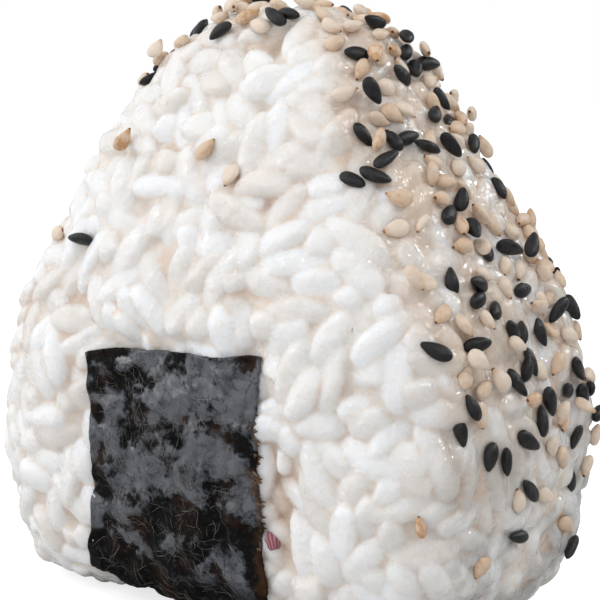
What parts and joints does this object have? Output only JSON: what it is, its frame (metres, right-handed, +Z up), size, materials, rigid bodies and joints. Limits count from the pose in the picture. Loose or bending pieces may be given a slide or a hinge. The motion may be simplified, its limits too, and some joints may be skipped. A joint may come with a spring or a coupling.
{
  "type": "onigiri rice ball",
  "caption": "Upright triangular rice ball of pressed cooked rice with rounded corners, a flat base and a nori band folded up under it; its rim is dotted with sesame.",
  "frame": {"origin": "middle of the flat base, on the surface the rice ball stands on", "axes": "+Z up through the apex; -Y out of the front broad face, +Y out of the back one; +X to the right seen from the front"},
  "size_m": [0.0679, 0.0438, 0.0676],
  "materials": {
    "rice": "moist cooked short-grain rice, translucent warm white, softly glossy",
    "nori": "toasted seaweed sheet, near black, satin, wrinkled over the grains",
    "black_sesame": "black sesame seed, satin",
    "white_sesame": "hulled and toasted sesame seed, ivory to golden tan"
  },
  "bodies": {
    "root": {"rice": "rice", "nori": "nori"}
  },
  "joints": []
}
